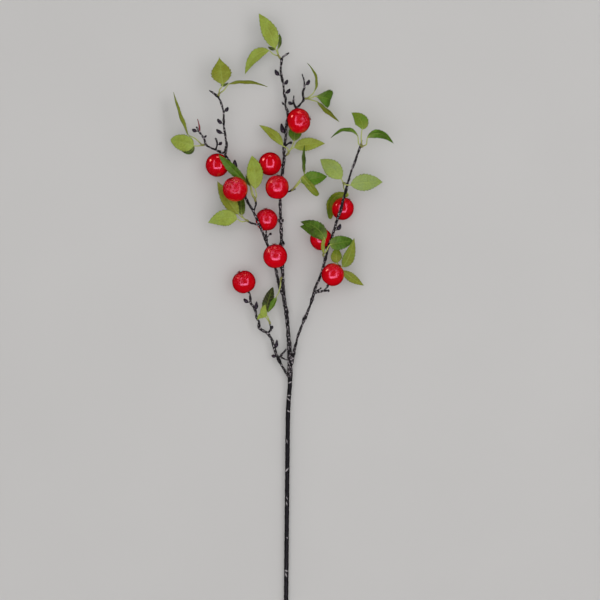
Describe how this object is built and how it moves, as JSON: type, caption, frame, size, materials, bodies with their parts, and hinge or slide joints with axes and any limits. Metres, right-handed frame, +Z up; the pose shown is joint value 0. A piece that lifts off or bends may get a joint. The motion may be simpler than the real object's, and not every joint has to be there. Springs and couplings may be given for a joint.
{
  "type": "artificial hawthorn berry spray",
  "caption": "Artificial hawthorn spray laid flat: wrapped stem forking into dark twigs with glossy red berries on pegs and small green leaf sprigs.",
  "frame": {"origin": "on the surface, under the middle of the spray's box", "axes": "+Y from the cut end of the stem to the top twig, +X to the right seen from above, +Z up from the surface"},
  "size_m": [0.2237, 0.5924, 0.0383],
  "materials": {
    "wrapped_stem": "near-black stem wrap, half gloss",
    "twig_bark": "near-black moulded twig, knobbly",
    "berry_lacquer": "bright red lacquer",
    "leaf": "green leaf, darker above and paler below"
  },
  "bodies": {
    "root": {"main_stem": "wrapped_stem", "left_low_branch": "twig_bark", "left_high_branch": "twig_bark", "right_branch": "twig_bark", "berry_01": "berry_lacquer", "berry_02": "berry_lacquer", "berry_03": "berry_lacquer", "berry_04": "berry_lacquer", "berry_05": "berry_lacquer", "berry_06": "berry_lacquer", "berry_07": "berry_lacquer", "berry_08": "berry_lacquer", "berry_09": "berry_lacquer", "berry_10": "berry_lacquer", "berry_11": "berry_lacquer", "leaf_sprig_top": "leaf", "leaf_sprig_top_left": "leaf", "leaf_sprig_far_left": "leaf", "leaf_sprig_top_right": "leaf", "leaf_sprig_upper_middle": "leaf", "leaf_sprig_middle_right": "leaf", "leaf_sprig_left_middle": "leaf", "leaf_sprig_left_low": "leaf", "leaf_sprig_right_tip": "leaf", "leaf_sprig_right_upper": "leaf", "leaf_sprig_right_middle": "leaf", "leaf_sprig_right_low": "leaf", "leaf_sprig_bottom_left": "leaf", "hanging_leaf": "leaf"}
  },
  "joints": []
}
